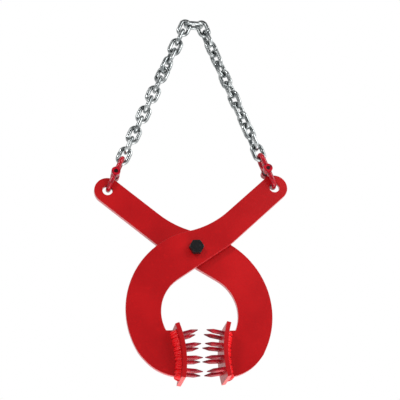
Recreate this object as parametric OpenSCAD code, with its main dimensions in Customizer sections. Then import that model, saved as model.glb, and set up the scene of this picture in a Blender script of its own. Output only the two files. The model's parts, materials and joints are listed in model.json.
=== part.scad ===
// Scissor lifting tongs: two crossed claw arms on one bolt, spiked jaws, and a
// chain sling that pulls the arms together through a connecting link in each eye.
// The tongs hang as in use: +Z up, front towards -Y, hook seat at the origin.

/* [Arms] */
// Thickness of each arm plate
plate_t = 10; // [8:0.5:12]
// Clear space between the two arm plates
plate_gap = 1.5; // [1.2:0.1:3]
// Chain eye beside the bolt, jaws closed
eye_x = 158; // [145:1:172]
// Chain eye above the bolt, jaws closed
eye_z = 120; // [110:1:130]
// Bore of the chain eye
eye_d = 19; // [18.6:0.1:21]
// Width of the straight part of each arm
arm_w = 50; // [44:1:56]
// Slope of the straight part of each arm
arm_slope = 41; // [39:0.5:43]
// Radius that blends the arm into the back of the claw
blend_r = 170; // [120:5:200]

/* [Claws] */
// Radius of the back of the claw
back_r = 156; // [150:1:162]
// Centre of the claw's back, towards the arm's own eye
back_x = 21; // [16:1:26]
// Centre of the claw's back, below the bolt
back_drop = 119; // [114:1:124]
// Radius of the claw's toe
toe_r = 85; // [75:1:95]
// Where the toe leaves the back, as an angle below level
toe_angle = 40; // [36:1:44]
// Radius of the throat
throat_r = 76; // [70:1:82]
// Centre of the throat, towards the arm's own eye
throat_x = 5; // [2:1:8]
// Centre of the throat, below the bolt
throat_drop = 123; // [118:1:128]
// Slope of the edge between the throat and the arm
neck_slope = 33; // [29:1:36]
// Top of the foot that carries the jaw plate, below the bolt
foot_drop = 155; // [150:1:160]

/* [Jaws] */
// Middle of each jaw plate, below the bolt
jaw_drop = 208; // [203:1:213]
// Jaw face from the middle plane, jaws closed
jaw_x = 33; // [33:1:40]
// Radius of the curved jaw face
jaw_r = 190; // [170:5:230]
// Length of each jaw plate along its face
jaw_len = 124; // [118:1:130]
// Depth of each jaw plate, front to back
jaw_depth = 70; // [56:1:90]
// Thickness of each jaw plate
jaw_t = 6; // [5:0.5:8]
// Leg of the weld bead behind the jaw plate
weld_leg = 5; // [3:0.5:7]

/* [Spikes] */
// Diameter of each spike
spike_d = 8; // [6:0.5:10]
// Length of each spike
spike_len = 31; // [24:1:32]
// Length of the spike's point
point_len = 12; // [8:1:14]
// Rows of spikes on each jaw
spike_rows = 4; // [3:1:5]
// Distance between rows along the jaw face
row_pitch = 22; // [18:1:24]
// First row above the middle of the jaw plate
first_row = 44; // [40:1:48]
// Distance between the two spikes of a row
spike_span = 32; // [24:1:40]

/* [Pivot] */
// Diameter of the pivot bolt
bolt_d = 16; // [14:1:18]
// Width across flats of the bolt head and the nut
hex_af = 24; // [23:1:27]
// Height of the bolt head
head_h = 10; // [8:1:13]
// Height of the nut's hexagon
nut_h = 12; // [10:1:15]
// Height of the nut's locking collar
collar_h = 5; // [4:0.5:7]
// Outer diameter of the pivot washers
washer_d = 30; // [28:1:36]
// Thickness of the washer under the nut
washer_t = 3; // [2:0.5:4]
// Bolt end that stands out past the nut
bolt_tail = 3; // [1:1:6]

/* [Chain] */
// Diameter of the chain wire
wire_d = 8; // [7:0.5:8]
// Inner length of one link
link_len = 24; // [23:0.5:27]
// Inner width of one link
link_w = 10.4; // [10:0.1:11.6]
// Diameter over the butt weld on a link's side bar
butt_d = 8.8; // [8.4:0.1:9.2]
// Length of the butt weld's collar
butt_len = 5; // [4:0.5:6]
// Largest turn of the right leg's middle links
right_turn = 40; // [0:2:44]

/* [Connecting links] */
// Diameter of the connecting link's bow
bow_d = 9; // [8:0.5:10]
// Inner length of the connecting link
bow_len = 60; // [56:1:64]
// Inner width of the connecting link
bow_w = 17; // [16:0.5:20]
// Diameter of the load pin
pin_d = 8; // [7:0.5:9]
// Outer diameter of the knuckles on the load pin
knuckle_d = 17; // [15:0.5:18]
// Outer diameter of the sleeve on the load pin
sleeve_d = 14; // [12:0.5:15]
// Length of the sleeve
sleeve_len = 11; // [10.5:0.5:13]

/* [Fits] */
// Radial clearance of the bolt in the plates
bolt_fit = 0.05; // [0.03:0.01:0.1]
// Radial clearance of the load pin and of the nut's thread
pin_fit = 0.03; // [0.02:0.01:0.05]
// Side clearance of the front plate on the bolt
side_play = 0.3; // [0.2:0.05:0.4]
// Gap where the first link hangs in the top link
sway_gap = 0.6; // [0.5:0.05:0.8]
// Gap where the second link hangs in the first
spread_gap = 0.3; // [0.2:0.05:0.4]
// Gap between the other seated links
link_gap = 0.1; // [0.05:0.01:0.2]
// Gap where the left bow bears in its eye
eye_gap = 0.3; // [0.2:0.05:0.4]
// Gap of the right bow in its eye, where the loop is open
open_gap = 1; // [0.8:0.1:1.4]
// Side gap between the knuckles
knuckle_gap = 0.1; // [0.05:0.01:0.2]

/* [Hidden] */
$fn = 64;

// Links on each leg: every link is a node, so the counts go with NODES
links_left = 14;
links_right = 13;
// Depth of the tongs' centre of mass under the bolt, for the way they hang
mass_drop = 70;
// Flat left on the point of a spike
point_flat = 0.8;
// Chamfer on the hexagons
hex_chamfer = 1.5;
// Links of the left leg before its quarter turn, and links that share it
straight_links = 3;
turning_links = 4;

paint = [0.72, 0.08, 0.1];
crimson = [0.66, 0.06, 0.14];
zinc = [0.72, 0.74, 0.76];
black_steel = [0.1, 0.1, 0.11];
dark_steel = [0.24, 0.24, 0.26];
nylon = [0.2, 0.3, 0.6];

// Plates lie either side of the middle plane
plate_y = (plate_gap + plate_t) / 2;

// Chain: wire centres, crowns and the run of each leg
wire_r = wire_d / 2;
crown_r = (link_w + wire_d) / 2;
seat_x = link_len / 2 + wire_r;
half_link = seat_x;
bow_r = bow_d / 2;
bow_crown_r = (bow_w + bow_d) / 2;
bow_half = (bow_len + bow_d) / 2;
// How far the bow's inner curve rises before it meets the plate's edges
bow_lift = bow_w / 2 - sqrt(pow(bow_w / 2, 2) - pow(plate_t / 2, 2));

// Turn of each link about its leg, beside the right angle between neighbours
left_turns = [for (k = [1:links_left])
    90 * min(1, max(0, (k - straight_links) / turning_links))];
right_turns = [for (k = [1:links_right])
    right_turn * sin(180 * (k - 1) / (links_right - 1))];
// Distance between the wires of two linked crowns. Crowns that cross at less than
// a right angle touch beside their middles, so they seat deeper in each other.
function seat(twist, gap) =
    let (square = 1 - sin(abs(twist)), wires = wire_d + gap)
    crown_r * square >= wires ? wires
    : 2 * crown_r - sqrt((2 - square) * (2 * pow(crown_r, 2) - pow(wires, 2) / square));
// Ways down a leg: to a link's middle, the load pin and the middle of the arm's eye
function link_at(turns, k) = k == 1 ? half_link - wire_d - sway_gap
    : link_at(turns, k - 1) + 2 * half_link
        - seat(turns[k - 1] - turns[k - 2], k == 2 ? spread_gap : link_gap);
function pin_at(turns) =
    link_at(turns, len(turns)) + half_link - wire_r - link_gap - bow_r + bow_half;
function eye_at(turns, gap) = pin_at(turns) + bow_half - bow_r - gap - bow_lift + eye_d / 2;
function leg_run(turns, gap) = sqrt(pow(eye_at(turns, gap), 2) - pow(plate_y, 2));

// The way the tongs hang: both legs taut, and the centre of mass under the hook
left_run = leg_run(left_turns, eye_gap);
right_run = leg_run(right_turns, open_gap);
function turned(x, z, a) = [x * cos(a) - z * sin(a), x * sin(a) + z * cos(a)];
function left_eye_at(a) =
    let (reach = turned(2 * eye_x, 0, a),
        gap = [2 * seat_x, 0] - reach,
        span = norm(gap),
        along = (pow(left_run, 2) - pow(right_run, 2) + span * span) / (2 * span),
        drop = sqrt(pow(left_run, 2) - along * along),
        way = gap / span)
    [-seat_x, wire_r] + along * way + drop * [-way[1], way[0]];
function bolt_at(a) = left_eye_at(a) + turned(eye_x, -eye_z, a);
function weight_off(a) = bolt_at(a)[0] + mass_drop * sin(a);
function balance(low, high, steps) = let (mid = (low + high) / 2)
    steps == 0 ? mid
    : weight_off(low) * weight_off(mid) <= 0 ? balance(low, mid, steps - 1)
    : balance(mid, high, steps - 1);
steepest = 30;
halvings = 40;
roll = balance(-steepest, steepest, halvings);
bolt = bolt_at(roll);
left_eye = left_eye_at(roll);
right_eye = left_eye + turned(2 * eye_x, 0, roll);

// Arm profile, drawn for the front plate: eye towards +X, claw towards -X
eye = [eye_x, eye_z];
along_arm = [cos(arm_slope), sin(arm_slope)];
across_arm = [-sin(arm_slope), cos(arm_slope)];
upper_edge = eye + arm_w / 2 * across_arm;
lower_edge = eye - arm_w / 2 * across_arm;
back_c = [back_x, -back_drop];
throat_c = [throat_x, -throat_drop];
// Blend circle: touches the arm's upper edge and the claw's back
to_blend = upper_edge + blend_r * across_arm - back_c;
blend_dot = to_blend * along_arm;
blend_slide = -blend_dot
    + sqrt(pow(blend_dot, 2) - to_blend * to_blend + pow(back_r + blend_r, 2));
blend_c = back_c + to_blend + blend_slide * along_arm;
blend_on_arm = upper_edge + blend_slide * along_arm;
blend_on_back = back_c + back_r / (back_r + blend_r) * (blend_c - back_c);
// Neck: a line that touches the throat and runs up to the arm's lower edge
neck_dir = [cos(neck_slope), sin(neck_slope)];
neck_on_throat = throat_c + throat_r * [-sin(neck_slope), cos(neck_slope)];
to_lower = lower_edge - neck_on_throat;
neck_run = (to_lower[0] * along_arm[1] - to_lower[1] * along_arm[0])
    / (neck_dir[0] * along_arm[1] - neck_dir[1] * along_arm[0]);
neck_on_arm = neck_on_throat + neck_run * neck_dir;
// Toe: a smaller circle that touches the claw's back from inside
toe_dir = [-cos(toe_angle), -sin(toe_angle)];
toe_c = back_c + (back_r - toe_r) * toe_dir;
// Jaw: the centre of its curved face, on the claw's side
jaw_c = [-jaw_x - jaw_r, -jaw_drop];
jaw_back_r = jaw_r - jaw_t;
far = 400;

// Everything below hangs on the bolt or on a chain leg
module at_bolt() translate([bolt[0], 0, bolt[1]]) rotate([0, -roll, 0]) children();
// The left leg's side is -1 and the right leg's is 1, and s is the way down it
module on_leg(side, s) {
    carried = side < 0 ? left_eye : right_eye;
    run = side < 0 ? left_run : right_run;
    translate([side * seat_x, 0, wire_r])
        rotate([0, atan2(side * seat_x - carried[0], wire_r - carried[1]), 0])
        rotate([-side * atan2(plate_y, run), 0, 0])
        translate([0, 0, -s])
        children();
}

// The rear arm is the same plate as the front arm, turned over
module turned_over() mirror([1, 0, 0]) mirror([0, 1, 0]) children();
module on_edge(t) rotate([90, 0, 0]) linear_extrude(height = t) children();

// The claw runs into the arm as far as the bolt
module claw_side() {
    polygon([[-far, far], [0, far], [0, 0], neck_on_throat,
        [neck_on_throat[0], -far], [-far, -far]]);
}

module claw_solid() {
    difference() {
        translate(back_c) circle(r = back_r);
        polygon([back_c, back_c + far * toe_dir, back_c + [-far, -far] * 2,
            back_c + [far, -far], back_c + [far, 0]]);
    }
    translate(toe_c) circle(r = toe_r);
}

module throat() {
    intersection() {
        translate(throat_c) circle(r = throat_r);
        translate([-far, -foot_drop]) square([2 * far, far]);
    }
}

module past_jaw_back() {
    difference() {
        translate([-throat_r, -far]) square([throat_r, far - foot_drop]);
        translate(jaw_c) circle(r = jaw_back_r);
    }
}

module claw_outline() {
    intersection() {
        difference() {
            claw_solid();
            throat();
            past_jaw_back();
        }
        claw_side();
    }
}

module arm_plate() translate([0, -plate_gap / 2, 0]) rotate([90, 0, 0]) difference() {
    union() {
        linear_extrude(height = plate_t) claw_outline();
        linear_extrude(height = plate_t) polygon([lower_edge, neck_on_arm, neck_on_throat,
            blend_on_back, blend_on_arm, upper_edge]);
        translate(eye) cylinder(r = arm_w / 2, h = plate_t);
    }
    translate([blend_c[0], blend_c[1], -1]) cylinder(r = blend_r, h = plate_t + 2);
    translate([0, 0, -1]) cylinder(r = bolt_d / 2 + bolt_fit, h = plate_t + 2);
    translate([eye_x, eye_z, -1]) cylinder(r = eye_d / 2, h = plate_t + 2);
}
module front_arm() color(paint) at_bolt() arm_plate();
module rear_arm() color(paint) at_bolt() turned_over() arm_plate();

// Jaw pieces stand on the left in the front plate's frame
jaw_half_angle = jaw_len / jaw_r * 90 / PI;
module jaw_sector(r) {
    reach = r / cos(jaw_half_angle);
    polygon([[0, 0], reach * [cos(jaw_half_angle), -sin(jaw_half_angle)],
        reach * [cos(jaw_half_angle), sin(jaw_half_angle)]]);
}
module jaw_plate() {
    translate([jaw_c[0], jaw_depth / 2, jaw_c[1]]) on_edge(jaw_depth) intersection() {
        difference() {
            circle(r = jaw_r);
            circle(r = jaw_back_r);
        }
        jaw_sector(jaw_r);
    }
}

// Beads run on both faces of the claw's foot, between its top and its toe
weld_top = asin((jaw_drop - foot_drop - weld_leg / 2) / jaw_back_r);
toe_hit = acos((pow(jaw_back_r, 2) + pow(norm(toe_c - jaw_c), 2) - toe_r * toe_r)
    / (2 * jaw_back_r * norm(toe_c - jaw_c)));
weld_bottom = atan2(toe_c[1] - jaw_c[1], toe_c[0] - jaw_c[0]) - toe_hit + 1;
module weld_bead() {
    rotate([90, 0, 0]) rotate([0, 0, weld_bottom])
        rotate_extrude(angle = weld_top - weld_bottom)
        translate([jaw_back_r, 0]) intersection() {
            circle(r = weld_leg);
            translate([-weld_leg, 0]) square(weld_leg);
        }
}
module jaw_welds() {
    translate([jaw_c[0], -plate_gap / 2 - plate_t, jaw_c[1]]) weld_bead();
    translate([jaw_c[0], -plate_gap / 2, jaw_c[1]]) mirror([0, 1, 0]) weld_bead();
}

module spike() {
    rotate([0, 90, 0]) rotate_extrude() polygon([[0, -spike_d], [spike_d / 2, -spike_d],
        [spike_d / 2, spike_len - point_len], [point_flat, spike_len], [0, spike_len]]);
}
module jaw_spikes() {
    translate([jaw_c[0], 0, jaw_c[1]])
        for (row = [0 : spike_rows - 1], side = [-1, 1])
            let (lift = (first_row - row * row_pitch) / jaw_r * 180 / PI)
            difference() {
                rotate([0, -lift, 0]) translate([jaw_r, side * spike_span / 2, 0]) spike();
                rotate([90, 0, 0]) cylinder(r = jaw_r, h = jaw_depth, center = true);
            }
}

module left_jaw_plate() color(paint) at_bolt() jaw_plate();
module left_jaw_welds() color(paint) at_bolt() jaw_welds();
module left_jaw_spikes() color(paint) at_bolt() jaw_spikes();
module right_jaw_plate() color(paint) at_bolt() turned_over() jaw_plate();
module right_jaw_welds() color(paint) at_bolt() turned_over() jaw_welds();
module right_jaw_spikes() color(paint) at_bolt() turned_over() jaw_spikes();

// Pivot pieces are drawn along the bolt, from the head at the front to the rear
front_face = -plate_gap / 2 - plate_t;
rear_face = plate_gap / 2 + plate_t;
module along_bolt(y) at_bolt() translate([0, y, 0]) rotate([-90, 0, 0]) children();
module hexagon(h) {
    corner_r = hex_af / 2 / cos(30);
    intersection() {
        cylinder(r = corner_r, h = h, $fn = 6);
        union() {
            cylinder(r1 = hex_af / 2, r2 = hex_af / 2 + hex_chamfer * 2,
                h = hex_chamfer);
            translate([0, 0, hex_chamfer]) cylinder(r = hex_af / 2 + hex_chamfer * 2,
                h = h - hex_chamfer);
        }
    }
}
module pivot_bolt() color(black_steel) {
    shank = rear_face + washer_t + nut_h + collar_h + bolt_tail - front_face + side_play;
    along_bolt(front_face - side_play - head_h) {
        hexagon(head_h);
        cylinder(r = bolt_d / 2, h = head_h + shank);
    }
}
module pivot_spacer() color(dark_steel) along_bolt(-plate_gap / 2 + side_play) difference() {
    cylinder(r = washer_d / 2, h = plate_gap - side_play);
    translate([0, 0, -1]) cylinder(r = bolt_d / 2 + bolt_fit, h = plate_gap + 2);
}
module pivot_washer() color(zinc) along_bolt(rear_face) difference() {
    cylinder(r = washer_d / 2, h = washer_t);
    translate([0, 0, -1]) cylinder(r = bolt_d / 2 + bolt_fit, h = washer_t + 2);
}
insert_wall = 1.5;
module collar_room() {
    translate([0, 0, nut_h]) cylinder(r = bolt_d / 2 + insert_wall, h = collar_h - 1);
}
module lock_nut() color(zinc) along_bolt(rear_face + washer_t) difference() {
    union() {
        rotate([180, 0, 0]) translate([0, 0, -nut_h]) hexagon(nut_h);
        cylinder(r = hex_af / 2 - 1, h = nut_h + collar_h);
    }
    translate([0, 0, -1]) cylinder(r = bolt_d / 2 + pin_fit, h = nut_h + collar_h + 2);
    collar_room();
}
module lock_nut_insert() color(nylon) along_bolt(rear_face + washer_t) difference() {
    collar_room();
    cylinder(r = bolt_d / 2 + pin_fit, h = nut_h + collar_h + 1);
}

// One link, along Z in the XZ plane
module chain_link() {
    straight = half_link - crown_r;
    for (end = [0, 180]) rotate([0, end, 0]) translate([0, 0, straight]) rotate([90, 0, 0])
        rotate_extrude(angle = 180) translate([crown_r, 0]) circle(r = wire_r);
    for (side = [-1, 1]) translate([side * crown_r, 0, -straight])
        cylinder(r = wire_r, h = 2 * straight);
}
// Low barrel-shaped collar where the bent wire's ends were welded together
module butt_weld() {
    sink = 0.1;
    rise = butt_d / 2 - wire_r + sink;
    barrel_r = (pow(butt_len / 2, 2) + rise * rise) / (2 * rise);
    translate([crown_r, 0, 0]) rotate_extrude() intersection() {
        translate([butt_d / 2 - barrel_r, 0]) circle(r = barrel_r);
        translate([0, -butt_len / 2]) square([butt_d, butt_len]);
    }
}
module top_link() color(zinc) translate([0, 0, wire_r]) rotate([90, 0, 90]) chain_link();

// Odd links lie flat to the front but for the leg's turn, and even ones stand on edge
module leg_link(side, turns, k) color(zinc) if (k <= len(turns))
    on_leg(side, link_at(turns, k))
        rotate([0, 0, turns[k - 1] + (k % 2 == 1 ? 0 : 90)]) {
            chain_link();
            butt_weld();
        }
module left_link(k) leg_link(-1, left_turns, k);
module right_link(k) leg_link(1, right_turns, k);

// Connecting link: two equal halves that interleave on the load pin. Along the pin
// lie an outer knuckle of one half, an inner one of the other, then the sleeve.
knuckle_lip = 0.5;
bow_out = bow_w / 2 + bow_d + knuckle_lip;
inner_from = sleeve_len / 2 + knuckle_gap;
inner_to = (bow_out + inner_from) / 2 - knuckle_gap / 2;
outer_from = inner_to + knuckle_gap;
knuckle_room = knuckle_d / 2 + 3 * knuckle_gap;
module across(from, to) {
    rotate([-90, 0, 0]) translate([0, 0, from]) linear_extrude(height = to - from) children();
}
// Half with its bow towards +Z, pin along Y
module bow_half_link() {
    straight = bow_half - bow_crown_r;
    difference() {
        union() {
            translate([0, 0, straight]) rotate([90, 0, 90]) rotate_extrude(angle = 180)
                translate([bow_crown_r, 0]) circle(r = bow_r);
            for (side = [-1, 1]) translate([0, side * bow_crown_r, 0])
                cylinder(r = bow_r, h = straight);
            across(-bow_out, -outer_from) circle(r = knuckle_d / 2);
            across(inner_from, inner_to) circle(r = knuckle_d / 2);
            // Shoulder that carries the leg over to the inner knuckle
            rotate([90, 0, 90]) linear_extrude(height = bow_d - 1, center = true)
                polygon([[inner_from, 0], [bow_crown_r, 0], [bow_crown_r, straight],
                    [inner_from, knuckle_room]]);
        }
        // Room for the other half's two knuckles
        across(-outer_from, 0) circle(r = knuckle_room);
        across(inner_to, bow_out + 1) circle(r = knuckle_room);
        across(-bow_out - 1, bow_out + 1) circle(r = pin_d / 2 + pin_fit);
    }
}
module lower_half() rotate([180, 0, 0]) bow_half_link();
module load_pin() rotate([90, 0, 0]) cylinder(r = pin_d / 2, h = 2 * bow_out - 1, center = true);
module sleeve() rotate([90, 0, 0]) difference() {
    cylinder(r = sleeve_d / 2, h = sleeve_len, center = true);
    cylinder(r = pin_d / 2 + pin_fit, h = sleeve_len + 2, center = true);
}
left_pin = pin_at(left_turns);
right_pin = pin_at(right_turns);

front_arm();
rear_arm();
left_jaw_plate();
left_jaw_welds();
left_jaw_spikes();
right_jaw_plate();
right_jaw_welds();
right_jaw_spikes();
pivot_bolt();
pivot_spacer();
pivot_washer();
lock_nut();
lock_nut_insert();
color(crimson) on_leg(-1, left_pin) lower_half();  // left_lower_bow
color(crimson) on_leg(-1, left_pin) bow_half_link();  // left_upper_bow
color(dark_steel) on_leg(-1, left_pin) load_pin();  // left_load_pin
color(dark_steel) on_leg(-1, left_pin) sleeve();  // left_sleeve
color(crimson) on_leg(1, right_pin) lower_half();  // right_lower_bow
color(crimson) on_leg(1, right_pin) bow_half_link();  // right_upper_bow
color(dark_steel) on_leg(1, right_pin) load_pin();  // right_load_pin
color(dark_steel) on_leg(1, right_pin) sleeve();  // right_sleeve
top_link();
left_link(1);  // left_link_01
left_link(2);  // left_link_02
left_link(3);  // left_link_03
left_link(4);  // left_link_04
left_link(5);  // left_link_05
left_link(6);  // left_link_06
left_link(7);  // left_link_07
left_link(8);  // left_link_08
left_link(9);  // left_link_09
left_link(10);  // left_link_10
left_link(11);  // left_link_11
left_link(12);  // left_link_12
left_link(13);  // left_link_13
left_link(14);  // left_link_14
right_link(1);  // right_link_01
right_link(2);  // right_link_02
right_link(3);  // right_link_03
right_link(4);  // right_link_04
right_link(5);  // right_link_05
right_link(6);  // right_link_06
right_link(7);  // right_link_07
right_link(8);  // right_link_08
right_link(9);  // right_link_09
right_link(10);  // right_link_10
right_link(11);  // right_link_11
right_link(12);  // right_link_12
right_link(13);  // right_link_13
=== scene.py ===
# %% [markdown]
# # Scissor lifting tongs on a chain sling
#
# Two laser-cut claw arms cross on one bolt. A short-link chain joins their upper
# ends, so the load's own weight closes the spiked jaws. The steel pieces come from
# the CAD model, and this lesson gives them paint, zinc and oil. It draws the arms,
# the jaw plates and the welds again with the marks that a workshop leaves on them,
# cuts the thread on the bolt's tail, and lights the whole.

# %% Load the frame
import json
import math
import random

import bpy
from mathutils import Matrix, Vector

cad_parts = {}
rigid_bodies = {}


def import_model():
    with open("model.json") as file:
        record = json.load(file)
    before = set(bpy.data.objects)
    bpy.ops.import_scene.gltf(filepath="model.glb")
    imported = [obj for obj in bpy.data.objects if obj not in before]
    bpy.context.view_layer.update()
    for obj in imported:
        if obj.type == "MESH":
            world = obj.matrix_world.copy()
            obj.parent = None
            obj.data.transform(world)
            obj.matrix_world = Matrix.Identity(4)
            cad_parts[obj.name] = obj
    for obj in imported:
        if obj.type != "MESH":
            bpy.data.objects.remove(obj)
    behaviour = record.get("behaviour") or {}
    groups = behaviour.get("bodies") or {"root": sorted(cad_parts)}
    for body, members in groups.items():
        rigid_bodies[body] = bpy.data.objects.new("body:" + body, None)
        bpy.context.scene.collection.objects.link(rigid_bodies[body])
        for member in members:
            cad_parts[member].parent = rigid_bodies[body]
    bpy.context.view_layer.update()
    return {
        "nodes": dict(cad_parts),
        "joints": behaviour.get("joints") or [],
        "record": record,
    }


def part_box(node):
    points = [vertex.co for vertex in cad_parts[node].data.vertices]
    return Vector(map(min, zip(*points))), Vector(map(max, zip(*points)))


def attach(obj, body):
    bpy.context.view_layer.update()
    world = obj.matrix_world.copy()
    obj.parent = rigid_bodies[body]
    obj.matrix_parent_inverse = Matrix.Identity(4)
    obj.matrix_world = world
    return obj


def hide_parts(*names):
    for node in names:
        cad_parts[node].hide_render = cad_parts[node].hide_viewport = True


for default_thing in list(bpy.data.objects):
    bpy.data.objects.remove(default_thing)
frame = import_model()


def rounded(numbers, places=4):
    """Numbers made short enough to print."""
    return tuple(round(number, places) for number in numbers)


# %% [markdown]
# The bolt is the natural reference for everything on the tongs. The record says
# where it is, and the grip mount's axis says how far the tongs roll to one side,
# because the two chain legs differ by one link. Every later piece is placed from
# these two facts. The matrix to_tongs takes the arms' own measures, from the bolt
# and unrolled, to their place. The rear arm is the front one turned over.

# %% Find the bolt and the roll
joints = {joint["name"]: joint for joint in frame["joints"]}
bolt = Vector(joints["jaw_opening"]["pos_m"])
grip = next(m for m in frame["record"]["mounts"] if m["name"] == "left_jaw_grip")
roll = math.atan2(grip["axis"][2], grip["axis"][0])
to_tongs = Matrix.Translation(bolt) @ Matrix.Rotation(-roll, 4, "Y")
turn_over = Matrix.Rotation(math.pi, 4, "Z")
print("bolt", rounded(bolt), "roll", round(math.degrees(roll), 2))

# %% [markdown]
# The photograph was taken from a little to the left and from well below, so the
# lower cut edges of the plates show. A long lens keeps the plates nearly free of
# perspective. The camera stands on a sphere round the bolt and then looks a bit
# higher, which sets the whole sling in the frame without any lens shift.

# %% Place the camera
SENSOR_MM = 36.0
LENS_MM = 107.1
STAND_AZIMUTH, STAND_ELEVATION, STAND_DISTANCE = -8.52, -19.72, 2.200
LOOK_AZIMUTH, LOOK_ELEVATION, LOOK_ROLL = -8.80, -22.11, -1.01


def looking(azimuth, elevation):
    """Unit vector of a view along the azimuth, seen from the elevation, in degrees."""
    a, e = math.radians(azimuth), math.radians(elevation)
    return Vector((-math.sin(a) * math.cos(e), math.cos(a) * math.cos(e), -math.sin(e)))


camera_data = bpy.data.cameras.new("camera")
camera_data.sensor_width = SENSOR_MM
camera_data.lens = LENS_MM
camera = bpy.data.objects.new("camera", camera_data)
bpy.context.scene.collection.objects.link(camera)
bpy.context.scene.camera = camera
camera.location = bolt - STAND_DISTANCE * looking(STAND_AZIMUTH, STAND_ELEVATION)
aim = looking(LOOK_AZIMUTH, LOOK_ELEVATION).to_track_quat("-Z", "Y")
spin = Matrix.Rotation(math.radians(LOOK_ROLL), 4, "Z")
camera.rotation_euler = (aim.to_matrix().to_4x4() @ spin).to_euler()
bpy.context.scene.view_settings.view_transform = "Standard"
print("camera at", rounded(camera.location, 3))

# %% [markdown]
# Shader maths reads best as plain sums. A Wire is one output socket, and adding
# or multiplying Wires adds the Math nodes behind them. A Board is one node tree,
# and its node() makes any node from its type, settings and sockets. A socket goes
# by its label, or by its number where more than one on the node has that label.
# A Finish is a material's board, with its Principled shader at hand.

# %% Write shader maths as Python
NUMBER_A, NUMBER_B = 2, 3  # the Mix node's sockets when it mixes numbers
COLOUR_A, COLOUR_B, COLOUR_OUT = 6, 7, 2  # and when it mixes colours


class Wire:
    """One output socket on a board, with its sums written as Python."""

    def __init__(self, board, socket):
        self.board = board
        self.socket = socket

    def sum(self, operation, *terms):
        settings = {"operation": operation}
        return self.board.node("ShaderNodeMath", settings, dict(enumerate(terms)))

    def __add__(self, other):
        return self.sum("ADD", self, other)

    __radd__ = __add__

    def __sub__(self, other):
        return self.sum("SUBTRACT", self, other)

    def __rsub__(self, other):
        return self.sum("SUBTRACT", other, self)

    def __mul__(self, other):
        return self.sum("MULTIPLY", self, other)

    __rmul__ = __mul__

    def __abs__(self):
        return self.sum("ABSOLUTE", self)

    def root(self):
        return self.sum("SQRT", self.sum("MAXIMUM", self, 0.0))

    def sine(self):
        return self.sum("SINE", self)

    def ramp(self, low, high, below=0.0, above=1.0):
        """One value below low, another above high and a soft step between them."""
        settings = {"interpolation_type": "SMOOTHSTEP"}
        step = {"From Min": low, "From Max": high, "To Min": below, "To Max": above}
        return self.board.node("ShaderNodeMapRange", settings, {"Value": self, **step})


class Board:
    """One node tree, of a material or of the world."""

    def __init__(self, tree):
        self.tree = tree

    def node(self, kind, settings=None, sockets=None, out=0):
        made = self.tree.nodes.new(kind)
        for name, value in (settings or {}).items():
            setattr(made, name, value)
        for name, value in (sockets or {}).items():
            self.join(made.inputs[name], value)
        return Wire(self, made.outputs[out])

    def join(self, socket, value):
        if isinstance(value, Wire):
            self.tree.links.new(value.socket, socket)
        else:
            socket.default_value = value

    def axes(self, vector):
        """The X, Y and Z of a vector."""
        split = self.node("ShaderNodeSeparateXYZ", None, {"Vector": vector})
        return [Wire(self, axis) for axis in split.socket.node.outputs]

    def ray(self, kind):
        """1 for light paths of that kind, and 0 for all others."""
        return self.node("ShaderNodeLightPath", out=kind)

    def noise(self, vector, scale, detail=2.0):
        sockets = {"Vector": vector, "Scale": scale, "Detail": detail}
        return self.node("ShaderNodeTexNoise", None, sockets)

    def mix(self, share, first, second):
        """Two colours mixed."""
        sockets = {"Factor": share, COLOUR_A: first, COLOUR_B: second}
        return self.node("ShaderNodeMix", {"data_type": "RGBA"}, sockets, COLOUR_OUT)

    def mix_numbers(self, share, first, second):
        sockets = {"Factor": share, NUMBER_A: first, NUMBER_B: second}
        return self.node("ShaderNodeMix", {"data_type": "FLOAT"}, sockets)

    def bump(self, height, distance, strength, under=None):
        """A bump, on top of the one that comes from under."""
        sockets = {"Height": height, "Distance": distance, "Strength": strength}
        if under is not None:
            sockets["Normal"] = under
        return self.node("ShaderNodeBump", None, sockets)


class Finish(Board):
    """One material, built node by node round its Principled shader."""

    def __init__(self, name):
        self.material = bpy.data.materials.new(name)
        self.material.use_nodes = True
        super().__init__(self.material.node_tree)
        self.shader = self.tree.nodes["Principled BSDF"]

    def set(self, **sockets):
        """Sets or links the shader's sockets, named with _ for each space."""
        for name, value in sockets.items():
            self.join(self.shader.inputs[name.replace("_", " ")], value)

    def place(self):
        return self.node("ShaderNodeTexCoord", out="Object")


def rgb(red, green, blue):
    """The shader's linear values of a colour given as a screen's, from 0 to 255."""

    def linear(level):
        share = level / 255
        return share / 12.92 if share <= 0.04045 else ((share + 0.055) / 1.055) ** 2.4

    return (linear(red), linear(green), linear(blue), 1.0)


print("shader helpers ready")

# %% [markdown]
# Patterns on the tongs follow the plates, and the plates roll with the sling.
# This helper turns object coordinates into the tongs' own: across the plates,
# through them, and up from the bolt.

# %% Coordinates in the tongs' own frame
def tongs_axes(finish):
    """Metres across, through and above the bolt, in line with the tongs."""
    x, y, z = finish.axes(finish.place())
    across, above = x - bolt.x, z - bolt.z
    cosine, sine = math.cos(roll), math.sin(roll)
    return across * cosine + above * sine, y, above * cosine - across * sine


print("tongs axes ready")
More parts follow.
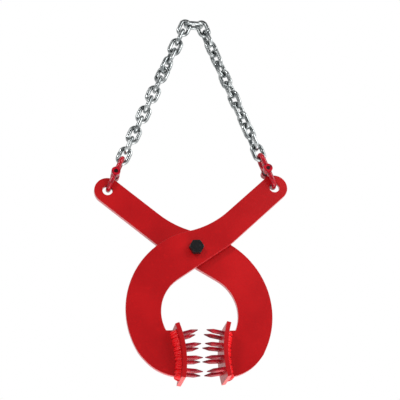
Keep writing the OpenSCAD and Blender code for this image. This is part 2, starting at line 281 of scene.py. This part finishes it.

# %% [markdown]
# The arms are flame-red enamel on laser-cut plate. The flat faces keep a faint
# orange-peel skin and a cloudy unevenness from the spray gun. The cut edges keep
# the fine ribs that the laser leaves straight through the plate, softened by the
# paint. They catch the light: their lighter red, streaked by the ribs, is a
# painted highlight, under a full gloss coat, and the flat faces wear the deep red
# with hardly any coat. The shader tells the two apart by the face's own direction.
# Each _SCALE is a noise's patches per metre, and each _STEP is where the noise
# turns from one tone to the other.

# %% Red enamel for the plates
PLATE_RED = rgb(186, 2, 10)
PLATE_DEEP = rgb(170, 1, 9)
PLATE_WARM = rgb(200, 8, 12)
# The edge red below is a painted highlight, the lighter red of the cut edges.
EDGE_PAINTED_HIGHLIGHT = rgb(214, 50, 58)
CLOUD_SCALE, GRAIN_SCALE, DUST_SCALE, PEEL_SCALE = 9.0, 140.0, 900.0, 420.0
CLOUD_STEP, GRAIN_STEP, DUST_STEP = (0.35, 0.72), (0.52, 0.80), (0.70, 0.78)
GRAIN_SHOWS, DUST_SHOWS = 0.35, 0.25
PEEL_HEIGHT, PEEL_STRENGTH = 0.00008, 0.5
RIB_SCALE, RIB_STRETCH = 700.0, 0.06
RIB_HEIGHT, RIB_STRENGTH = 0.00025, 0.6
EDGE_HIGHLIGHT_SHOWS, RIBS_IN_HIGHLIGHT = 0.45, 0.45
ENAMEL_ROUGHNESS, CLOUDS_ROUGHEN, DUST_ROUGHENS = 0.30, 0.10, 0.2
ENAMEL_IOR = 1.33
FACE_COAT, EDGE_COAT, COAT_ROUGHNESS = 0.06, 0.94, 0.2
EDGE_TURN = (0.55, 0.9)


def enamel(name, base, deep, warm, edge_highlight=None, cut_by=None, edge_coat=EDGE_COAT):
    """Glossy sprayed enamel. Faces whose direction cut_by picks get a painted
    highlight.
    """
    paint = Finish(name)
    place = paint.place()
    clouds = paint.noise(place, CLOUD_SCALE, detail=3.0)
    grain = paint.noise(place, GRAIN_SCALE, detail=3.0)
    dust = paint.noise(place, DUST_SCALE, detail=1.0).ramp(*DUST_STEP)
    peel = paint.noise(place, PEEL_SCALE, detail=1.0)
    colour = paint.mix(clouds.ramp(*CLOUD_STEP), deep, base)
    colour = paint.mix(grain.ramp(*GRAIN_STEP) * GRAIN_SHOWS, colour, warm)
    colour = paint.mix(dust * DUST_SHOWS, colour, deep)
    skin = paint.bump(peel, PEEL_HEIGHT, PEEL_STRENGTH)
    coat = FACE_COAT
    if edge_highlight is not None:
        cut = cut_by(paint.axes(paint.node("ShaderNodeNewGeometry", out="Normal")))
        across, through, above = tongs_axes(paint)
        ribbed = {"X": across, "Y": through * RIB_STRETCH, "Z": above}
        stretched = paint.node("ShaderNodeCombineXYZ", None, ribbed)
        ribs = paint.noise(stretched, RIB_SCALE)
        # Lighter red mixed into the cut edges: painted highlight, varied by the ribs.
        colour = paint.mix(cut * (EDGE_HIGHLIGHT_SHOWS + ribs * RIBS_IN_HIGHLIGHT), colour, edge_highlight)
        skin = paint.bump(ribs * cut, RIB_HEIGHT, RIB_STRENGTH, skin)
        coat = FACE_COAT + cut * edge_coat
    shine = ENAMEL_ROUGHNESS + clouds * CLOUDS_ROUGHEN + dust * DUST_ROUGHENS
    paint.set(Base_Color=colour, Roughness=shine, Normal=skin)
    paint.set(IOR=ENAMEL_IOR, Coat_Weight=coat, Coat_Roughness=COAT_ROUGHNESS)
    return paint.material


def off_the_flat(facing):
    """1 on the cut edges of a plate, whose flat faces look along Y."""
    return 1.0 - abs(facing[1]).ramp(*EDGE_TURN)


plate_enamel = enamel(
    "plate_enamel", PLATE_RED, PLATE_DEEP, PLATE_WARM, EDGE_PAINTED_HIGHLIGHT, off_the_flat
)
print(plate_enamel.name, len(plate_enamel.node_tree.nodes), "nodes")

# %% [markdown]
# The jaw plates wear the same enamel, and only their sheared lower ends, which
# look down, are of a lighter red with a thin coat; that lighter red is a painted
# highlight. The weld beads have no edges to pick out. They get a lighter red of
# their own, painted highlight all over the beads.

# %% Red enamel for jaws and welds
JAW_RED = rgb(190, 20, 28)
# The jaw's end red is a painted highlight on the faces that look down.
JAW_END_PAINTED_HIGHLIGHT = rgb(240, 62, 58)
JAW_END_COAT = 0.2
END_TURN = (0.7, 0.9)
# The weld reds are painted lighter than the plates' enamel, as painted highlight.
WELD_PAINTED_LIT_RED = rgb(255, 40, 46)
WELD_PAINTED_LIT_DEEP = rgb(238, 24, 32)
WELD_PAINTED_LIT_WARM = rgb(255, 96, 92)


def sheared_end(facing):
    """1 on the lower end face of a jaw plate, which looks down."""
    return (0.0 - facing[2]).ramp(*END_TURN)


jaw_enamel = enamel(
    "jaw_enamel", JAW_RED, PLATE_DEEP, PLATE_WARM, JAW_END_PAINTED_HIGHLIGHT, sheared_end, JAW_END_COAT
)
weld_enamel = enamel("weld_enamel", WELD_PAINTED_LIT_RED, WELD_PAINTED_LIT_DEEP, WELD_PAINTED_LIT_WARM)
print(jaw_enamel.name, weld_enamel.name)

# %% [markdown]
# The spikes went through the same spray booth, but their points bite wood and
# stone, so the paint is thin and dark there, and the rings of the lathe show. The
# jaw's face is a circle, and each spike stands square to it, so the distance from
# that circle's middle says how far along its spike a point lies.

# %% Enamel worn dark at the spikes' points
JAW_RADIUS = 0.190
JAW_FACE = 0.033
JAW_DROP = 0.208
JAW_MIDDLE = Vector((-JAW_FACE - JAW_RADIUS, 0, -JAW_DROP))
SPIKE_LENGTH = 0.031
POINT_LENGTH = 0.012
SPIKE_RED = rgb(190, 16, 38)
SPIKE_DEEP = rgb(140, 8, 30)
POINT_DARK = rgb(92, 18, 32)
STREAK_SCALE, BLOTCH_SCALE, BLOTCH_STEP = 260.0, 60.0, (0.4, 0.65)
WORN_RAGGED, WORN_SHOWS = 0.005, 0.75
RINGS_PER_METRE, RINGS_SHOW = 7000.0, 0.3
SPIKE_BUMP, SPIKE_BUMP_STRENGTH = 0.00015, 0.5
SPIKE_ROUGHNESS, WEAR_ROUGHENS, STREAKS_ROUGHEN = 0.24, 0.2, 0.08
WEAR_BARES = 0.1
SPIKE_IOR, SPIKE_COAT, SPIKE_COAT_ROUGHNESS = 1.38, 0.15, 0.1


def spike_finish(name, side):
    """side is -1 for the left jaw's spikes and 1 for the right jaw's."""
    paint = Finish(name)
    place = paint.place()
    across, through, above = tongs_axes(paint)
    out = across * -side - JAW_MIDDLE.x
    up = above - JAW_MIDDLE.z
    along = (out * out + up * up).root() - JAW_RADIUS
    streak = paint.noise(place, STREAK_SCALE)
    ragged = along + streak * WORN_RAGGED
    worn = ragged.ramp(SPIKE_LENGTH - POINT_LENGTH, SPIKE_LENGTH)
    blotch = paint.noise(place, BLOTCH_SCALE).ramp(*BLOTCH_STEP)
    colour = paint.mix(blotch, SPIKE_DEEP, SPIKE_RED)
    colour = paint.mix(worn * WORN_SHOWS, colour, POINT_DARK)
    rings = (along * RINGS_PER_METRE).sine() * worn
    turned = paint.bump(streak + rings * RINGS_SHOW, SPIKE_BUMP, SPIKE_BUMP_STRENGTH)
    shine = SPIKE_ROUGHNESS + worn * WEAR_ROUGHENS + streak * STREAKS_ROUGHEN
    paint.set(Base_Color=colour, Roughness=shine, Metallic=worn * WEAR_BARES)
    paint.set(IOR=SPIKE_IOR, Normal=turned)
    paint.set(Coat_Weight=SPIKE_COAT, Coat_Roughness=SPIKE_COAT_ROUGHNESS)
    return paint.material


left_spike_finish = spike_finish("left_spike_finish", -1)
right_spike_finish = spike_finish("right_spike_finish", 1)
print(left_spike_finish.name, right_spike_finish.name)

# %% [markdown]
# The connecting links are drop-forged, so under their crimson coat the surface
# rolls gently and carries fine pits of scale. Both are noise that the bump reads,
# and the same noise paints the colour darker in the hollows, as painted shade, and
# lighter on the high spots, as painted highlight.

# %% Crimson for the forged connecting links
CRIMSON = rgb(184, 2, 30)
# The deep crimson is painted shade, and the light crimson is painted highlight.
CRIMSON_PAINTED_SHADE = rgb(130, 1, 22)
CRIMSON_PAINTED_HIGHLIGHT = rgb(222, 30, 62)
ROLL_SCALE, ROLL_STEP = 180.0, (0.35, 0.6)
PIT_SCALE, PIT_STEP = 620.0, (0.58, 0.75)
PITS_HIGHLIGHT_SHOWS, PITS_LIFT, PITS_ROUGHEN = 0.5, 0.25, 0.16
FORGED_BUMP, FORGED_BUMP_STRENGTH = 0.0005, 0.6
FORGED_ROUGHNESS = 0.22
FORGED_IOR, FORGED_COAT, FORGED_COAT_ROUGHNESS = 1.36, 0.2, 0.08


def forged_crimson():
    paint = Finish("forged_crimson")
    place = paint.place()
    rolls = paint.noise(place, ROLL_SCALE)
    pits = paint.noise(place, PIT_SCALE)
    # Darker where the rolls are low: painted shade.
    colour = paint.mix(rolls.ramp(*ROLL_STEP), CRIMSON_PAINTED_SHADE, CRIMSON)
    # Lighter where the pits stand high: painted highlight.
    colour = paint.mix(pits.ramp(*PIT_STEP) * PITS_HIGHLIGHT_SHOWS, colour, CRIMSON_PAINTED_HIGHLIGHT)
    dents = paint.bump(rolls + pits * PITS_LIFT, FORGED_BUMP, FORGED_BUMP_STRENGTH)
    paint.set(Base_Color=colour, Normal=dents, IOR=FORGED_IOR)
    paint.set(Roughness=FORGED_ROUGHNESS + pits * PITS_ROUGHEN)
    paint.set(Coat_Weight=FORGED_COAT, Coat_Roughness=FORGED_COAT_ROUGHNESS)
    return paint.material


crimson = forged_crimson()
print(crimson.name)

# %% [markdown]
# The chain is bright zinc over bent wire. Zinc plate shows cloudy grey patches, a
# fine grain and small dull spots where links rub, so its colour and its roughness
# wander while it stays almost fully metallic.

# %% Zinc for the chain, the washer and the nut
ZINC = rgb(186, 190, 190)
ZINC_DULL = rgb(128, 133, 134)
ZINC_DARK = rgb(64, 68, 70)
PATCH_SCALE, PATCH_STEP = 75.0, (0.34, 0.62)
SPOT_SCALE, SPOT_STEP = 330.0, (0.56, 0.72)
ZINC_GRAIN_SCALE, ZINC_GRAIN_SHOWS = 1300.0, 0.3
ZINC_BUMP, ZINC_BUMP_STRENGTH = 0.0002, 0.35
ZINC_ROUGHNESS, PATCHES_ROUGHEN, RUBS_ROUGHEN = 0.20, 0.12, 0.25
RUBS_DULL = 0.2


def zinc_plate(name, scuffs):
    """scuffs is how much of the surface has gone dark and dull, from 0 to 1."""
    metal = Finish(name)
    place = metal.place()
    patches = metal.noise(place, PATCH_SCALE, detail=3.0)
    spots = metal.noise(place, SPOT_SCALE)
    grain = metal.noise(place, ZINC_GRAIN_SCALE, detail=1.0)
    rubbed = spots.ramp(*SPOT_STEP) * scuffs
    colour = metal.mix(patches.ramp(*PATCH_STEP), ZINC_DULL, ZINC)
    colour = metal.mix(rubbed, colour, ZINC_DARK)
    height = spots + grain * ZINC_GRAIN_SHOWS
    shine = ZINC_ROUGHNESS + patches * PATCHES_ROUGHEN + rubbed * RUBS_ROUGHEN
    metal.set(Base_Color=colour, Roughness=shine, Metallic=1.0 - rubbed * RUBS_DULL)
    metal.set(Normal=metal.bump(height, ZINC_BUMP, ZINC_BUMP_STRENGTH))
    return metal.material


chain_zinc = zinc_plate("chain_zinc", scuffs=0.8)
nut_zinc = zinc_plate("nut_zinc", scuffs=0.3)
print(chain_zinc.name, nut_zinc.name)

# %% [markdown]
# The pivot bolt is black-oxide steel: a thin matt skin that wears to grey where a
# spanner touches it. The load pins and sleeves are oiled steel, browner and a bit
# smoother. One function makes both, from a base and a polished tone.

# %% Dark steel for the bolt, pins and sleeves
OXIDE_BLACK, OXIDE_WORN = rgb(28, 28, 30), rgb(74, 74, 76)
OILED_BROWN, OILED_WORN = rgb(70, 34, 38), rgb(128, 84, 86)
WEAR_SCALE, WEAR_STEP, WEAR_SHOWS = 320.0, (0.55, 0.8), 0.7
STEEL_GRAIN_SCALE, STEEL_GRAIN_SHOWS = 1500.0, 0.4
STEEL_BUMP, STEEL_BUMP_STRENGTH = 0.00018, 0.6
GRAIN_ROUGHENS, WEAR_POLISHES = 0.15, 0.12


def dark_steel(name, base, polished, roughness, metallic):
    metal = Finish(name)
    place = metal.place()
    wear = metal.noise(place, WEAR_SCALE, detail=3.0)
    grain = metal.noise(place, STEEL_GRAIN_SCALE, detail=1.0)
    worn = wear.ramp(*WEAR_STEP)
    height = wear + grain * STEEL_GRAIN_SHOWS
    shine = roughness + grain * GRAIN_ROUGHENS - worn * WEAR_POLISHES
    metal.set(Base_Color=metal.mix(worn * WEAR_SHOWS, base, polished))
    metal.set(Roughness=shine, Metallic=metallic)
    metal.set(Normal=metal.bump(height, STEEL_BUMP, STEEL_BUMP_STRENGTH))
    return metal.material


black_oxide = dark_steel(
    "black_oxide", OXIDE_BLACK, OXIDE_WORN, roughness=0.34, metallic=0.55
)
oiled_steel = dark_steel(
    "oiled_steel", OILED_BROWN, OILED_WORN, roughness=0.30, metallic=0.8
)
print(black_oxide.name, oiled_steel.name)

# %% [markdown]
# The lock nut's insert is a nylon ring. Moulded nylon is slightly waxy, so its
# shine is soft and its colour is never quite even.

# %% Nylon for the lock nut's insert
NYLON_BLUE, NYLON_PALE = rgb(44, 78, 150), rgb(66, 104, 176)
NYLON_CLOUD_SCALE = 240.0
NYLON_BUMP, NYLON_BUMP_STRENGTH = 0.0001, 0.4
NYLON_ROUGHNESS, NYLON_ROUGHENS = 0.42, 0.12


def moulded_nylon():
    plastic = Finish("moulded_nylon")
    cloud = plastic.noise(plastic.place(), NYLON_CLOUD_SCALE)
    plastic.set(Base_Color=plastic.mix(cloud, NYLON_BLUE, NYLON_PALE))
    plastic.set(Roughness=NYLON_ROUGHNESS + cloud * NYLON_ROUGHENS)
    plastic.set(Normal=plastic.bump(cloud, NYLON_BUMP, NYLON_BUMP_STRENGTH))
    return plastic.material


nylon = moulded_nylon()
print(nylon.name)

# %% [markdown]
# Each CAD node keeps its mesh and only changes its material. The finish goes by
# the first word in the list that the node's name holds. A few nodes are replaced
# by drawn pieces further on, and those take the same finishes.

# %% Dress the CAD nodes
FINISH_BY_WORD = [
    ("jaw_plate", jaw_enamel),
    ("jaw_welds", weld_enamel),
    ("left_jaw_spikes", left_spike_finish),
    ("right_jaw_spikes", right_spike_finish),
    ("arm", plate_enamel),
    ("bow", crimson),
    ("load_pin", oiled_steel),
    ("sleeve", oiled_steel),
    ("link", chain_zinc),
    ("pivot_washer", nut_zinc),
    ("pivot_spacer", oiled_steel),
    ("lock_nut_insert", nylon),
    ("lock_nut", nut_zinc),
    ("pivot_bolt", black_oxide),
]


def dress(piece, material):
    piece.data.materials.clear()
    piece.data.materials.append(material)


for node_name, node in frame["nodes"].items():
    finish = next(material for word, material in FINISH_BY_WORD if word in node_name)
    dress(node, finish)
print("dressed", len(frame["nodes"]), "nodes")

# %% [markdown]
# An operator acts on all that is selected, so modelling by operator needs a clean
# selection each time. These helpers select one piece alone, add a primitive, enter
# and leave edit mode, and write a piece's place into its mesh, so that every
# finished object sits at the origin as the CAD nodes do.

# %% Helpers for modelling
SAME_POINT = 1e-6


def alone(piece):
    """Makes the piece the active one and the only one selected."""
    bpy.ops.object.select_all(action="DESELECT")
    piece.select_set(True)
    bpy.context.view_layer.objects.active = piece


def start(name, add, **how):
    """A new primitive, alone in the selection."""
    bpy.ops.object.select_all(action="DESELECT")
    add(**how)
    piece = bpy.context.active_object
    piece.name = name
    return piece


def settle(piece, placement):
    """Moves the piece by the placement matrix and writes its place into its mesh."""
    piece.matrix_world = placement @ piece.matrix_world
    bpy.context.view_layer.update()
    alone(piece)
    bpy.ops.object.transform_apply(location=True, rotation=True, scale=True)
    return piece


def edit_all(piece):
    """Enters edit mode with the whole piece selected."""
    bpy.context.view_layer.objects.active = piece
    bpy.ops.object.mode_set(mode="EDIT")
    bpy.ops.mesh.select_all(action="SELECT")


def leave_edit():
    bpy.ops.object.mode_set(mode="OBJECT")


def outward(piece):
    """Merges doubles and turns every face outwards."""
    edit_all(piece)
    bpy.ops.mesh.remove_doubles(threshold=SAME_POINT)
    bpy.ops.mesh.normals_make_consistent(inside=False)
    leave_edit()
    return piece


def copy_of(piece, name):
    """A copy with its own mesh."""
    twin = piece.copy()
    twin.data = piece.data.copy()
    twin.name = name
    bpy.context.scene.collection.objects.link(twin)
    return twin


def joined(name, parts):
    """The parts as one object."""
    alone(parts[0])
    for part in parts:
        part.select_set(True)
    bpy.ops.object.join()
    parts[0].name = name
    return parts[0]


def finished_with(piece, kind, **settings):
    """Adds a modifier with its settings and applies it."""
    modifier = piece.modifiers.new(kind.lower(), kind)
    for name, value in settings.items():
        setattr(modifier, name, value)
    bpy.context.view_layer.objects.active = piece
    bpy.ops.object.modifier_apply(modifier=modifier.name)
    return piece


print("modelling helpers ready")

# %% [markdown]
# A laser leaves a knife-sharp corner, and paint would peel off it, so the shop
# breaks every corner of the arms before spraying. The broken corner is also what
# draws the bright line round each plate. The arm's own mesh is copied, its
# triangles are merged into whole faces, and the toe is tucked up to where the jaw
# plate ends. A bevel breaks the corners, and weighted normals keep the large flat
# faces looking flat beside it.

# %% Break the corners of the arms
CORNER_BREAK = 0.0014
BREAK_SEGMENTS = 2
CORNER_OVER = math.radians(35)
SMOOTH_UNDER = math.radians(60)
FLAT_WITHIN = math.radians(0.5)
FLAT_FACE_WEIGHT = 100
TUCK_FROM = -0.200
TOE_TUCK = 0.84


def merged_copy(node_name, name):
    """The node's mesh as one closed piece of whole faces."""
    piece = copy_of(frame["nodes"][node_name], name)
    alone(piece)
    edit_all(outward(piece))
    bpy.ops.mesh.dissolve_limited(angle_limit=FLAT_WITHIN)
    leave_edit()
    return piece


def pick(piece, test):
    """Enters edit mode with only the vertices that pass the test selected."""
    edit_all(piece)
    bpy.ops.mesh.select_mode(type="VERT")
    bpy.ops.mesh.select_all(action="DESELECT")
    leave_edit()
    for vertex in piece.data.vertices:
        vertex.select = test(vertex)
    bpy.ops.object.mode_set(mode="EDIT")


def broken_corners(piece, width):
    """Bevels the sharp edges and shades the rest smooth."""
    finished_with(
        piece,
        "BEVEL",
        width=width,
        segments=BREAK_SEGMENTS,
        limit_method="ANGLE",
        angle_limit=CORNER_OVER,
    )
    alone(piece)
    bpy.ops.object.shade_smooth_by_angle(angle=SMOOTH_UNDER)
    finished_with(
        piece,
        "WEIGHTED_NORMAL",
        mode="FACE_AREA",
        weight=FLAT_FACE_WEIGHT,
        keep_sharp=True,
    )


from_tongs = to_tongs.inverted()
for node_name in ("front_arm", "rear_arm"):
    arm = merged_copy(node_name, node_name + "_plate")
    pick(arm, lambda vertex: (from_tongs @ vertex.co).z < TUCK_FROM)
    bpy.ops.transform.resize(
        value=(1, 1, TOE_TUCK), center_override=to_tongs @ Vector((0, 0, TUCK_FROM))
    )
    leave_edit()
    broken_corners(arm, CORNER_BREAK)
    dress(arm, plate_enamel)
    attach(arm, node_name)
    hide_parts(node_name)
    print(arm.name, len(arm.data.polygons), "faces")

# %% [markdown]
# Each jaw plate is a strip of flat bar, rolled to a large radius and cut off near
# the claw's toe. It is modelled as it is made: the bar's cross-section is a cube
# of no height, which is spun about the middle of the jaw's circle, and a bevel
# breaks the corners that the shears left. It is drawn as the left jaw, and the
# right one is the same turned half round the vertical.

# %% Roll the jaw plates
JAW_THICK = 0.008
JAW_WIDE = 0.070
JAW_RISE, JAW_FALL = 0.062, 0.040
JAW_STEPS = 24
JAW_BREAK = 0.0009
SIDES = [("left", to_tongs, "front_arm"), ("right", to_tongs @ turn_over, "rear_arm")]


def rolled_jaw(name):
    """The left jaw plate, in the tongs' own measures."""
    top, sweep = JAW_RISE / JAW_RADIUS, (JAW_RISE + JAW_FALL) / JAW_RADIUS
    section = (JAW_THICK, JAW_WIDE, 0.0)
    bar = start(name, bpy.ops.mesh.primitive_cube_add, size=1.0, scale=section)
    to_face = Matrix.Translation((JAW_RADIUS - JAW_THICK / 2, 0, 0))
    to_top = Matrix.Rotation(-top, 4, "Y")
    settle(bar, Matrix.Translation(JAW_MIDDLE) @ to_top @ to_face)
    edit_all(outward(bar))
    bpy.ops.mesh.spin(
        steps=JAW_STEPS,
        angle=-sweep,
        center=JAW_MIDDLE,
        axis=(0, 1, 0),
        use_auto_merge=False,
    )
    leave_edit()
    return outward(bar)


for side, placement, body in SIDES:
    jaw = rolled_jaw(side + "_rolled_jaw")
    settle(jaw, placement)
    broken_corners(jaw, JAW_BREAK)
    dress(jaw, jaw_enamel)
    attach(jaw, body)
    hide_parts(side + "_jaw_plate")
    print(jaw.name, len(jaw.data.polygons), "faces", rounded(jaw.dimensions))

# %% [markdown]
# A hand-laid weld looks like a row of coins pushed over, because the pool
# freezes once per stroke. One stroke is modelled as a quarter of a flattened
# ball: a UV sphere, squashed along the seam and cut away by two bisects where
# the claw and the jaw plate fill the corner. The stroke is then copied along the
# seam, each copy a touch different, and the copies are joined into one bead.

# %% Model one weld stroke
WELD_LEG = 0.0115
STROKE_HALF = 0.0034
STROKE_SEGMENTS, STROKE_RINGS = 16, 8
STROKE_SMOOTH_UNDER = math.radians(50)
JAW_BACK = JAW_RADIUS - JAW_THICK


def weld_stroke():
    """A stroke at the origin. It fills the corner to -X and -Y of a seam along Z."""
    ball = start(
        "stroke",
        bpy.ops.mesh.primitive_uv_sphere_add,
        segments=STROKE_SEGMENTS,
        ring_count=STROKE_RINGS,
        radius=1.0,
    )
    settle(ball, Matrix.Diagonal((WELD_LEG, WELD_LEG, STROKE_HALF, 1)))
    for normal in ((1, 0, 0), (0, 1, 0)):
        edit_all(ball)
        bpy.ops.mesh.bisect(
            plane_co=(0, 0, 0), plane_no=normal, use_fill=True, clear_outer=True
        )
    leave_edit()
    bpy.ops.object.shade_smooth_by_angle(angle=STROKE_SMOOTH_UNDER)
    return ball


stroke = weld_stroke()
print("stroke has", len(stroke.data.polygons), "faces")

# %% [markdown]
# The seam is an arc about the jaw's middle, from the claw's inner corner down to
# its toe. Two beads close each jaw to its claw, one on each face of the plate.
# Those of the right jaw are laid from the same corner, turned half round the
# vertical as the whole rear arm is.

# %% Lay the weld beads
STROKE_PITCH = 0.0026
STROKE_TILT = 9
STROKE_SHRINK = 0.25
SEAM_STOP = 0.004
OUTER_SEED, INNER_SEED = 10, 20


def seam_ends(node):
    """The seam's lowest and highest angle about the jaw's middle, from the CAD beads.

    It stops a little above the jaw plate's lower end.
    """
    points = [from_tongs @ vertex.co for vertex in frame["nodes"][node].data.vertices]
    angles = [math.atan2(p.z - JAW_MIDDLE.z, p.x - JAW_MIDDLE.x) for p in points]
    return max(min(angles), (SEAM_STOP - JAW_FALL) / JAW_BACK), max(angles)


def lay_bead(name, face, away, ends, placement, seed):
    """face is the plate face that carries the bead, and away is -1 or 1 along Y."""
    chance = random.Random(seed)
    low, high = ends
    steps = round((high - low) * JAW_BACK / STROKE_PITCH)
    where = Matrix.Translation(JAW_MIDDLE + Vector((0, face, 0)))
    to_back = Matrix.Translation((JAW_BACK, 0, 0))
    strokes = []
    for step in range(steps + 1):
        angle = low + (high - low) * (step + 0.5) / (steps + 1)
        lean = math.radians(chance.uniform(-STROKE_TILT, STROKE_TILT))
        size = 1 - STROKE_SHRINK * chance.random() ** 2
        seam = Matrix.Rotation(-angle, 4, "Y") @ to_back
        tilt = Matrix.Rotation(lean, 4, "Y")
        swell = Matrix.Diagonal((size, -away * size, 1, 1))
        one = copy_of(stroke, name + "_stroke")
        settle(one, placement @ where @ seam @ tilt @ swell)
        strokes.append(one)
    return outward(joined(name, strokes))


front_face, back_face = (corner[1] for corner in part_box("front_arm"))
ends = seam_ends("left_jaw_welds")
for turn, (side, placement, body) in enumerate(SIDES):
    outer = lay_bead(
        side + "_outer_bead", front_face, -1, ends, placement, OUTER_SEED + turn
    )
    inner = lay_bead(
        side + "_inner_bead", back_face, 1, ends, placement, INNER_SEED + turn
    )
    for bead in (outer, inner):
        dress(bead, weld_enamel)
        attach(bead, body)
    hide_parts(side + "_jaw_welds")
    print(side, "beads have", len(outer.data.polygons), "faces each")
bpy.data.objects.remove(stroke)

# %% [markdown]
# The bolt's tail stands a few millimetres out of its lock nut, and there its
# thread shows. A thread is one triangle carried round the bolt while it climbs,
# which is what the Screw modifier does. The ridge is modelled about Z, closed at
# both ends, and then laid down along Y behind the nut.

# %% Cut the thread on the bolt's tail
THREAD_PITCH = 0.002
THREAD_TURNS = 1
THREAD_STEPS = 48
SHANK_RADIUS = 0.008
RIDGE_RADIUS = 0.0007
RIDGE_SIDES = 3
nut_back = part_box("lock_nut")[1][1]
tail_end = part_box("pivot_bolt")[1][1]

ridge = start(
    "bolt_thread",
    bpy.ops.mesh.primitive_circle_add,
    vertices=RIDGE_SIDES,
    radius=RIDGE_RADIUS,
    location=(SHANK_RADIUS, 0, 0),
    rotation=(math.pi / 2, 0, 0),
)
settle(ridge, Matrix.Identity(4))
finished_with(
    ridge,
    "SCREW",
    axis="Z",
    angle=2 * math.pi * THREAD_TURNS,
    steps=THREAD_STEPS,
    render_steps=THREAD_STEPS,
    screw_offset=THREAD_PITCH * THREAD_TURNS,
    use_normal_calculate=True,
)
edit_all(ridge)
bpy.ops.mesh.fill_holes(sides=RIDGE_SIDES)
leave_edit()
lead_in = Matrix.Translation((0, 0, (tail_end - nut_back - THREAD_PITCH) / 2))
along_y = Matrix.Rotation(-math.pi / 2, 4, "X")
behind_nut = Matrix.Translation((bolt.x, nut_back, bolt.z))
outward(settle(ridge, behind_nut @ along_y @ lead_in))
dress(ridge, black_oxide)
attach(ridge, "rear_arm")
print("thread ridge", len(ridge.data.polygons), "faces")

# %% [markdown]
# A studio for glossy paint needs something bright to mirror in the cut edges and
# something dark to mirror in the flat faces, or the red washes out. So what the
# paint mirrors is white behind the tongs and nearly black in front of them. Where
# the camera looks straight at the world it is plain white, and for all other light
# it is an even soft grey. Y runs from the front to the back, from -1 to 1.

# %% Light the world
WHITE, BLACK = (1, 1, 1, 1), (0, 0, 0, 1)
ROOM_LEVEL = 0.56
MIRROR_DARK, MIRROR_BRIGHT = 0.04, 1.0
MIRROR_STEP = (-0.55, 0.25)

world = bpy.data.worlds.new("studio")
world.use_nodes = True
bpy.context.scene.world = world
sky = Board(world.node_tree)
depth = sky.axes(sky.node("ShaderNodeTexCoord", out="Generated"))[1]
in_mirrors = depth.ramp(*MIRROR_STEP, MIRROR_DARK, MIRROR_BRIGHT)
level = sky.mix_numbers(sky.ray("Is Glossy Ray"), ROOM_LEVEL, in_mirrors)
level = sky.mix_numbers(sky.ray("Is Camera Ray"), level, 1.0)
backdrop = sky.tree.nodes["Background"]
sky.join(backdrop.inputs["Color"], WHITE)
sky.join(backdrop.inputs["Strength"], level)
print("world has", len(sky.tree.nodes), "nodes")

# %% [markdown]
# The key light hangs high on the left and in front. It draws the front plate's
# shadow on the rear one, below and to the right of the bolt, as in the
# photograph. A weak light on the right keeps the shadow readable, and a low one
# lifts the edges that face the floor. Distances and sizes are in metres.

# %% Hang the lamps
def softbox(name, direction_to, distance, size, watts):
    """A square area lamp that looks at the bolt from a direction."""
    lamp = bpy.data.lights.new(name, "AREA")
    lamp.energy = watts
    lamp.size = size
    holder = bpy.data.objects.new(name, lamp)
    bpy.context.scene.collection.objects.link(holder)
    away = Vector(direction_to).normalized()
    holder.location = bolt + away * distance
    holder.rotation_euler = away.to_track_quat("Z", "Y").to_euler()


softbox("key", (-0.75, -1.0, 0.8), distance=3.4, size=0.7, watts=36)
softbox("fill", (1.2, -0.9, 0.9), distance=1.3, size=0.8, watts=9.5)
softbox("lift", (0.25, -0.2, -1.0), distance=1.4, size=1.0, watts=14)
print("lamps hung")

# %% [markdown]
# The floor lies well below the camera, which looks up at the hanging tongs. It is
# plain, pale and very wide, and rays that come from the camera or off something
# glossy see it brighter than it is lit, so that it meets the white of the world
# with hardly an edge.

# %% Lay the floor
FLOOR_Z = -2.0
FLOOR_WIDE = 120.0
FLOOR_PALE = (0.82, 0.82, 0.82, 1.0)
FLOOR_ROUGHNESS, SCUFF_SCALE, SCUFFS_ROUGHEN = 0.6, 3.0, 0.1
FLOOR_GLOW = 0.5

floor = start(
    "floor",
    bpy.ops.mesh.primitive_plane_add,
    size=FLOOR_WIDE,
    location=(0, 0, FLOOR_Z),
)
settle(floor, Matrix.Identity(4))
ground = Finish("pale_floor")
scuff = ground.noise(ground.place(), SCUFF_SCALE)
ground.set(Base_Color=FLOOR_PALE, Roughness=FLOOR_ROUGHNESS + scuff * SCUFFS_ROUGHEN)
from_camera = ground.ray("Is Camera Ray")
watched = from_camera.sum("MAXIMUM", from_camera, ground.ray("Is Glossy Ray"))
bright = {"Color": WHITE, "Strength": FLOOR_GLOW}
unlit = {"Color": BLACK, "Strength": 0.0}
glow = ground.node("ShaderNodeEmission", None, bright)
none = ground.node("ShaderNodeEmission", None, unlit)
glow = ground.node("ShaderNodeMixShader", None, {0: watched, 1: none, 2: glow})
lit = Wire(ground, ground.shader.outputs[0])
whole = ground.node("ShaderNodeAddShader", None, {0: lit, 1: glow})
ground.join(ground.tree.nodes["Material Output"].inputs["Surface"], whole)
dress(floor, ground.material)
print("floor at", FLOOR_Z)
